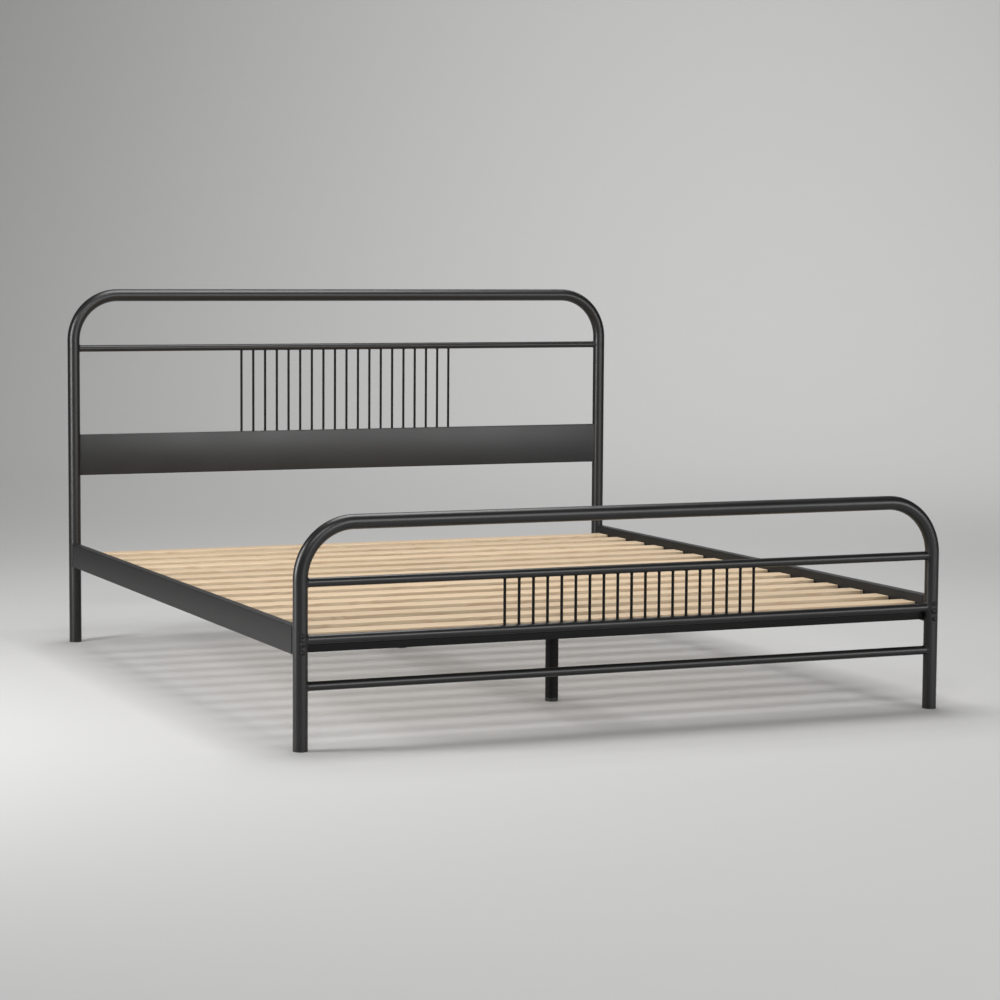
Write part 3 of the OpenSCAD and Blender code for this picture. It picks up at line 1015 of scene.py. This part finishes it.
@dataclass
class Deck:
    """What carries the mattress: cross rails, ledges, centre rail, slats and fasteners."""

    slat_count: int = 15
    angle_edge: float = 1.0 * MM
    slat_edge: float = 2.5 * MM
    screw_head: float = 4 * MM
    thick: float = 3 * MM

    def build(self) -> None:
        """Makes every piece of the deck."""
        self.build_cross_rail("foot_cross_rail", -1)
        self.build_cross_rail("head_cross_rail", 1)
        self.build_ledge("slat_ledge_left", -1)
        self.build_ledge("slat_ledge_right", 1)
        self.build_centre_rail()
        for number in range(1, self.slat_count + 1):
            self.build_slat(f"slat_{number:02d}")
        self.build_slat_screws()
        self.build_centre_fasteners()

    def build_cross_rail(self, node: str, side: float) -> None:
        """An angle across the bed: an upright leg and a shelf towards the bed's middle."""
        # Painted shade: the cross rail gets the darker copy of the powder coat.
        bench = Bench(f"{node}_angle", SHADED_COAT, node)
        low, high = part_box(node)
        outer, inner = (low.y, high.y) if side < 0 else (high.y, low.y)
        step = self.thick if side < 0 else -self.thick
        outline = [(outer, low.z), (inner, low.z), (inner, low.z + self.thick)]
        outline += [(outer + step, low.z + self.thick), (outer + step, high.z), (outer, high.z)]
        bench.bar(outline, low.x, high.x, ACROSS_BED, self.angle_edge)
        weld = Weld(1.8 * MM)
        for end in (low.x, high.x):
            weld.seam(bench, Vector((end, outer, low.z)), Vector((end, outer, high.z)))
        bench.done()

    def build_ledge(self, node: str, side: float) -> None:
        """The angle along a side rail that the slats rest on."""
        # Painted shade: the ledge gets the darker copy of the powder coat.
        bench = Bench(f"{node}_angle", SHADED_COAT, node)
        low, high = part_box(node)
        wall, tip = (low.x, high.x) if side < 0 else (high.x, low.x)
        step = self.thick if side < 0 else -self.thick
        outline = [(wall, low.z), (wall + step, low.z), (wall + step, high.z - self.thick)]
        outline += [(tip, high.z - self.thick), (tip, high.z), (wall, high.z)]
        bench.bar(outline, low.y, high.y, ALONG_BED, self.angle_edge)
        bench.done()

    def build_centre_rail(self) -> None:
        """The box-section rail along the bed's middle."""
        # Painted shade: the centre rail gets the darker copy of the powder coat.
        bench = Bench("centre_rail_box", SHADED_COAT, "centre_rail")
        low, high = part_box("centre_rail")
        outline = [(low.x, low.z), (high.x, low.z), (high.x, high.z), (low.x, high.z)]
        bench.bar(outline, low.y, high.y, ALONG_BED, 2.0 * MM)
        bench.done()

    def screw_places(self) -> tuple[float, float, float]:
        """Where a slat's three screws are, along the slat."""
        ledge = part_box("slat_ledge_right")
        outer = (ledge[0].x + ledge[1].x) / 2
        return (-outer, 0.0, outer)

    def build_slat(self, node: str) -> None:
        """A planed board with eased edges and a countersunk pit at each screw."""
        bench = Bench(f"{node}_board", PINE, node)
        low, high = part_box(node)
        bench.box(low, high, self.slat_edge, 3)
        bm = bench.bm
        middle = (low.y + high.y) / 2
        half = 7 * MM
        for x in self.screw_places():
            for place, normal in (
                ((x - half, 0, 0), ALONG_X), ((x + half, 0, 0), ALONG_X),
                ((0, middle - half, 0), ALONG_Y), ((0, middle + half, 0), ALONG_Y),
            ):
                geom = list(bm.verts) + list(bm.edges) + list(bm.faces)
                bmesh.ops.bisect_plane(bm, geom=geom, dist=1e-7, plane_co=place, plane_no=normal)
        for x in self.screw_places():
            self.sink_pit(bm, Vector((x, middle, high.z)), half)
        bench.done(50.0)

    def sink_pit(self, bm: bmesh.types.BMesh, place: Vector, half: float) -> None:
        """Sinks a round countersunk pit into the square face at a place.

        Args:
            bm: the slat's mesh.
            place: the pit's middle, on the slat's upper face.
            half: half the side of the square that it is cut in.
        """
        square = min(bm.faces, key=lambda face: (face.calc_center_median() - place).length)
        bmesh.ops.inset_individual(bm, faces=[square], thickness=0.3 * half)
        bmesh.ops.subdivide_edges(bm, edges=list(square.edges), cuts=5)
        pit = min(
            bm.faces,
            key=lambda face: (face.calc_center_median() - place).length + abs(face.normal.z - 1),
        )
        for vert in pit.verts:
            angle = math.atan2(vert.co.y - place.y, vert.co.x - place.x)
            vert.co.x = place.x + self.screw_head * 1.06 * math.cos(angle)
            vert.co.y = place.y + self.screw_head * 1.06 * math.sin(angle)
        bmesh.ops.inset_individual(bm, faces=[pit], thickness=1.7 * MM, depth=-2.4 * MM)

    def build_slat_screws(self) -> None:
        """Countersunk screws, one where each slat crosses a ledge or the centre rail."""
        bench = Bench("slat_screw_set", ZINC, "slat_screws")
        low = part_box("slat_screws")[0].z
        for number in range(1, self.slat_count + 1):
            board_low, board_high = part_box(f"slat_{number:02d}")
            middle = (board_low.y + board_high.y) / 2
            for x in self.screw_places():
                top = Vector((x, middle, board_high.z - 0.15 * MM))
                self.add_screw(bench, top, top.z - low)
        bench.done()

    def add_screw(self, bench: Bench, top: Vector, length: float) -> None:
        """A countersunk screw with a dished drive recess and a pointed end.

        Args:
            bench: the mesh that it is added to.
            top: the middle of the head's face.
            length: how long the screw is.
        """
        shank = 2 * MM
        profile = [
            (0.0, -1.1 * MM), (1.0 * MM, -0.5 * MM), (1.5 * MM, 0.0),
            (self.screw_head - 0.2 * MM, 0.0), (self.screw_head, -0.2 * MM),
            (shank, -2.4 * MM), (shank, 5 * MM - length), (0.0, -length),
        ]
        bench.lathe(profile, Matrix.Translation(top), 12)

    def build_centre_fasteners(self) -> None:
        """The bolts and nuts that hold the centre rail on the cross rails."""
        bolts = Bench("centre_rail_bolt_set", ZINC, "centre_rail_bolts")
        nuts = Bench("centre_rail_nut_set", ZINC, "centre_rail_nuts")
        size = 6 * MM
        low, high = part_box("centre_rail_bolts")
        nut_low, nut_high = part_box("centre_rail_nuts")
        head = 0.9 * size
        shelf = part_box("foot_cross_rail")[0].z
        for x in (low.x + head, high.x - head):
            for y in (low.y + head, high.y - head):
                ButtonBolt(size).add(bolts, Vector((x, y, shelf)), UP, high.z - shelf)
                HexNut(size, nut_high.z - nut_low.z).add(nuts, Vector((x, y, nut_low.z)))
        bolts.done()
        nuts.done()


@dataclass(frozen=True)
class HexNut:
    """A hexagon nut with turned corners, its bore along Z."""

    size: float
    height: float

    def add(self, bench: Bench, seat: Vector) -> None:
        """Adds the nut on a seat.

        Args:
            bench: the mesh that it is added to.
            seat: the middle of its lower face.
        """
        corner, bore = 0.94 * self.size, 0.5 * self.size
        ease = 0.06 * self.size
        profile = [(bore, 0.0), (corner - 2 * ease, 0.0), (corner, ease)]
        profile += [(corner, self.height - ease), (corner - 2 * ease, self.height)]
        profile += [(bore, self.height), (bore, 0.0)]
        made = bench.lathe(profile, Matrix.Identity(4), 24)
        for vert in made:
            radius = vert.co.xy.length
            angle = math.atan2(vert.co.y, vert.co.x)
            flat = corner * math.cos(math.pi / 6) / math.cos(angle % (math.pi / 3) - math.pi / 6)
            if radius > flat:
                vert.co.xy *= flat / radius
        bmesh.ops.translate(bench.bm, verts=made, vec=seat)


@dataclass
class CentreLeg:
    """A round leg under the centre rail, with its plate, screws, insert and levelling foot."""

    name: str
    foot: Body
    radius: float = 19 * MM
    plate_weld: Weld = field(default_factory=lambda: Weld(2.2 * MM))

    def build(self) -> None:
        """Makes the leg's pieces, apart from the screws that both legs share."""
        self.build_tube()
        self.build_plate()
        self.build_insert()
        self.build_foot()

    @property
    def axis(self) -> Vector:
        """The leg's axis on the floor."""
        place = PLACES.middle(f"leg_plate_{self.name}")
        return Vector((place.x, place.y, 0))

    def build_tube(self) -> None:
        """The tube and the bead that joins it to its plate."""
        node = f"centre_leg_{self.name}"
        # Painted shade: the leg tube gets the darker copy of the powder coat.
        bench = Bench(f"{node}_tube", SHADED_COAT, node)
        low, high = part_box(node)
        foot, top = self.axis + UP * low.z, self.axis + UP * high.z
        bench.rod(foot, top, self.radius, STOCK.tube_sides, 0.4 * MM)
        self.plate_weld.ring(bench, top, UP, self.radius, 0.0, ALONG_X)
        bench.done()

    def build_plate(self) -> None:
        """The plate that the leg hangs from."""
        node = f"leg_plate_{self.name}"
        # Painted shade: the leg plate gets the darker copy of the powder coat.
        bench = Bench(f"{node}_flat", SHADED_COAT, node)
        low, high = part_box(node)
        bench.box(low, high, 0.8 * MM, 3)
        bench.done()

    def build_insert(self) -> None:
        """The threaded plastic plug in the leg's lower end."""
        node = f"leg_insert_{self.name}"
        bench = Bench(f"{node}_plug", PLASTIC, node)
        low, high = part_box(node)
        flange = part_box(f"centre_leg_{self.name}")[0].z - low.z
        tall = high.z - low.z
        ease, plug, bore = 0.6 * MM, self.radius - 1.6 * MM, 5.05 * MM
        profile = [(bore, tall), (bore, 0.0), (self.radius - ease, 0.0), (self.radius, ease)]
        profile += [(self.radius, flange), (plug, flange), (plug, tall), (bore, tall)]
        bench.lathe(profile, Matrix.Translation(self.axis + UP * low.z), 48)
        bench.done()

    def build_foot(self) -> None:
        """The levelling foot: a ribbed pad and a threaded stem."""
        node = f"leveller_{self.name}"
        bench = Bench(f"{node}_foot", PLASTIC, node, body=self.foot)
        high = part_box(node)[1].z
        pad = 8 * MM
        profile = [(0.0, 0.0), (0.88 * self.radius, 0.0)]
        profile += [(0.96 * self.radius, 0.6 * MM), (self.radius, 2 * MM)]
        profile += [(self.radius, pad - 0.6 * MM), (self.radius - 0.6 * MM, pad), (0.0, pad)]
        grips = 24
        made = bench.lathe(profile, Matrix.Identity(4), 4 * grips)
        for vert in made:
            if vert.co.xy.length > 0.97 * self.radius:
                angle = math.atan2(vert.co.y, vert.co.x)
                vert.co.xy *= 1 - 0.018 * (0.5 - 0.5 * math.cos(grips * angle))
        bmesh.ops.translate(bench.bm, verts=made, vec=self.axis)
        self.add_thread(bench, pad, high)
        bench.done()

    def add_thread(self, bench: Bench, low: float, high: float) -> None:
        """A screw thread, spun as a rising ridge on its core.

        Args:
            bench: the mesh that it is added to.
            low: where the thread starts.
            high: where it ends.
        """
        core, crest, pitch = 4.3 * MM, 4.95 * MM, 1.5 * MM
        bench.rod(self.axis + UP * (low - 0.5 * MM), self.axis + UP * high, core, 24, 0.6 * MM)
        turns = int((high - low - 2 * pitch) / pitch)
        corners = [(core - 0.2 * MM, -0.45 * pitch), (crest, -0.08 * pitch), (crest, 0.08 * pitch)]
        corners += [(core - 0.2 * MM, 0.45 * pitch)]
        bm = bench.bm
        ring = [bm.verts.new((radius, 0.0, low + pitch + up)) for radius, up in corners]
        section = bm.faces.new(ring)
        before = set(bm.verts) - set(ring)
        steps = 24 * turns
        bmesh.ops.spin(
            bm, geom=[section, *section.edges, *ring], cent=(0, 0, 0), axis=(0, 0, 1),
            dvec=(0, 0, turns * pitch / steps), angle=FULL_TURN * turns, steps=steps,
            use_duplicate=False,
        )
        made = [vert for vert in bm.verts if vert not in before]
        bmesh.ops.translate(bm, verts=made, vec=self.axis)


@dataclass
class SmallParts:
    """Post caps, leg screws and the nuts that stay out of sight inside the rails."""

    cap_edge: float = 0.8 * MM
    hidden: tuple[str, ...] = ("bolt_nuts", "screw_nuts", "leg_nuts")

    def build(self) -> None:
        """Makes the caps and screws, and dresses the hidden nuts."""
        self.build_caps()
        self.build_leg_screws()
        for node in self.hidden:
            self.dress(node)

    def build_caps(self) -> None:
        """The plastic caps that the posts stand on."""
        bench = Bench("post_cap_set", PLASTIC, "post_caps")
        low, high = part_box("post_caps")
        radius = PLACES.tube_radius
        flange, plug = 3 * MM, radius - 2.1 * MM
        profile = [(0.0, 0.0), (radius - self.cap_edge, 0.0)]
        profile += [(radius, self.cap_edge), (radius, flange)]
        profile += [(plug, flange), (plug, high.z - low.z), (0.0, high.z - low.z)]
        for side in SIDES:
            for end in SIDES:
                post = Vector((side * PLACES.post_x, end * PLACES.post_y, low.z))
                bench.lathe(profile, Matrix.Translation(post), 48)
        bench.done()

    def build_leg_screws(self) -> None:
        """The screws that hold the leg plates up against the centre rail."""
        bench = Bench("leg_screw_set", ZINC, "leg_screws")
        size = 6 * MM
        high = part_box("leg_screws")[1].z
        pitch = 68 * MM
        for name in ("front", "rear"):
            low_corner, high_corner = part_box(f"leg_plate_{name}")
            middle = (low_corner + high_corner) / 2
            for side in SIDES:
                seat = Vector((middle.x, middle.y + side * pitch / 2, low_corner.z))
                ButtonBolt(size).add(bench, seat, UP, high - seat.z)
        bench.done()

    @staticmethod
    def dress(node: str) -> None:
        """Gives a carried-over node its finish."""
        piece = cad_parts[node]
        piece.data.materials.clear()
        piece.data.materials.append(ZINC.material())
        log.info("%s: kept, zinc plated", node)


# ---- camera, light and floor ----


@dataclass(frozen=True)
class SoftBox:
    """A rectangular soft light."""

    name: str
    place: tuple[float, float, float]
    aim: tuple[float, float, float]
    width: float
    height: float
    watts: float

    def hang(self) -> None:
        """Hangs the light so that it faces its aim."""
        data = bpy.data.lights.new(self.name, "AREA")
        data.shape = "RECTANGLE"
        data.size, data.size_y = self.width, self.height
        data.energy = self.watts
        light = bpy.data.objects.new(self.name, data)
        bpy.context.scene.collection.objects.link(light)
        place = Vector(self.place)
        turn = (place - Vector(self.aim)).to_track_quat("Z", "Y").to_matrix().to_4x4()
        light.matrix_world = Matrix.Translation(place) @ turn


@dataclass
class Studio:
    """A seamless pale sweep with soft light, and the camera."""

    eye: Vector = field(default_factory=lambda: Vector((-3.4258, -8.0224, 1.3135)))
    turn: float = 23.68
    tilt: float = -5.07
    roll: float = 0.37
    lens: float = 101.77
    sweep_near: float = -4.0
    sweep_start: float = 16.0
    sweep_radius: float = 7.0
    sweep_height: float = 12.0
    sweep_half_width: float = 18.0
    surroundings: float = 0.10
    paper_level: float = 0.50
    lights: tuple[SoftBox, ...] = (
        SoftBox("left_strip", (-4.1, -0.4, 1.5), (0.0, 0.2, 0.6), 1.1, 2.4, 140.0),
        SoftBox("right_box", (5.1, -6.6, 1.7), (0.0, 0.2, 0.6), 1.5, 2.4, 120.0),
        SoftBox("panel_box", (1.6, -7.4, 1.9), (-0.2, 0.8, 0.6), 2.6, 2.0, 145.0),
        SoftBox("top_box", (0.3, 0.4, 4.6), (0.3, 0.3, 0.0), 3.0, 3.0, 200.0),
        SoftBox("front_box", (-2.6, -6.0, 4.6), (0.0, 0.0, 0.4), 2.6, 1.2, 130.0),
        SoftBox("wall_box", (4.8, 5.6, 6.8), (6.4, 10.0, 0.8), 6.0, 3.0, 480.0),
    )

    def build(self) -> None:
        """Sets the camera, the sweep, the surroundings and the lights."""
        self.set_camera()
        self.hang_sweep()
        self.set_surroundings()
        for light in self.lights:
            light.hang()

    def set_camera(self) -> None:
        """The camera at the foot, left of the bed's middle."""
        data = bpy.data.cameras.new("camera")
        data.lens = self.lens
        data.sensor_width = 36.0
        data.clip_end = 300.0
        camera = bpy.data.objects.new("camera", data)
        bpy.context.scene.collection.objects.link(camera)
        turn = Matrix.Rotation(-math.radians(self.turn), 4, "Z")
        pitch = Matrix.Rotation(math.radians(90 + self.tilt), 4, "X")
        roll = Matrix.Rotation(math.radians(self.roll), 4, "Z")
        camera.matrix_world = Matrix.Translation(self.eye) @ turn @ pitch @ roll
        bpy.context.scene.camera = camera

    def hang_sweep(self) -> None:
        """A floor that curves up into a wall, with no line between them."""
        bm = bmesh.new()
        chain = [bm.verts.new((0.0, y, 0.0)) for y in (self.sweep_near, self.sweep_start)]
        bm.edges.new(chain)
        last = bmesh.ops.spin(
            bm, geom=[chain[1]], cent=(0, self.sweep_start, self.sweep_radius), axis=(1, 0, 0),
            angle=math.pi / 2, steps=40, use_duplicate=False,
        )["geom_last"]
        top = [item for item in last if isinstance(item, Vert)]
        grown = bmesh.ops.extrude_vert_indiv(bm, verts=top)["verts"]
        bmesh.ops.translate(bm, verts=grown, vec=(0, 0, self.sweep_height - self.sweep_radius))
        bmesh.ops.translate(bm, verts=bm.verts, vec=(-self.sweep_half_width, 0, 0))
        wide = bmesh.ops.extrude_edge_only(bm, edges=bm.edges)["geom"]
        verts = [item for item in wide if isinstance(item, Vert)]
        bmesh.ops.translate(bm, verts=verts, vec=(2 * self.sweep_half_width, 0, 0))
        turn = Matrix.Rotation(-math.radians(self.turn), 4, "Z")
        stand = Matrix.Translation((self.eye.x, self.eye.y, 0))
        bmesh.ops.transform(bm, matrix=stand @ turn, verts=bm.verts)
        bmesh.ops.recalc_face_normals(bm, faces=bm.faces)
        mesh = bpy.data.meshes.new("sweep")
        bm.to_mesh(mesh)
        bm.free()
        mesh.shade_smooth()
        sweep = bpy.data.objects.new("sweep", mesh)
        bpy.context.scene.collection.objects.link(sweep)
        mesh.materials.append(self.paper())

    def paper(self) -> bpy.types.Material:
        """Plain pale paper, the same all over but for a faint mottle."""
        material = bpy.data.materials.new("studio_paper")
        material.use_nodes = True
        graph = Graph(material.node_tree)
        mottle = graph.noise(graph.place(), 9.0, 2.0, 0.5)
        pale = tuple(self.paper_level * share for share in (1.0, 0.996, 0.989))
        dull = tuple(0.985 * level for level in pale)
        inputs = {"Base Color": graph.blend(mottle, dull, pale), "Roughness": 0.9}
        surface = graph.node("ShaderNodeBsdfPrincipled", None, inputs)
        graph.node("ShaderNodeOutputMaterial", None, {"Surface": surface.outputs[0]})
        return material

    def set_surroundings(self) -> None:
        """A dim even dome, which gives fill and shows in reflections."""
        world = bpy.data.worlds.new("studio")
        world.use_nodes = True
        graph = Graph(world.node_tree)
        dome = {"Color": rgba(grey(self.surroundings)), "Strength": 1.0}
        back = graph.node("ShaderNodeBackground", None, dome)
        graph.node("ShaderNodeOutputWorld", None, {"Surface": back.outputs[0]})
        bpy.context.scene.world = world


def write_sizes() -> None:
    """Updates the view layer, so that every piece's transform is current."""
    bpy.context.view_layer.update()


def main() -> None:
    """Builds the bed's pieces in order, then the studio."""
    logging.basicConfig(level=logging.INFO, format="%(message)s")
    bpy.context.scene.view_settings.view_transform = "Standard"
    steps: list[Callable[[], None]] = [
        Headboard(
            "headboard", "headboard", 1.0, 1173 * MM,
            (("headboard_rail", 11 * MM),), "headboard_rail", 11 * MM,
        ).build,
        Footboard(
            "footboard", "footboard", -1.0, 620 * MM,
            tuple((f"footboard_{name}_rail", 12.5 * MM) for name in ("upper", "middle", "lower")),
            "footboard_upper_rail", 12.5 * MM,
        ).build,
        SideRails().build,
        Deck().build,
        CentreLeg("front", Body.FRONT_LEVELLER).build,
        CentreLeg("rear", Body.REAR_LEVELLER).build,
        SmallParts().build,
        Studio().build,
        write_sizes,
    ]
    for step in steps:
        step()


if __name__ == "__main__":
    main()
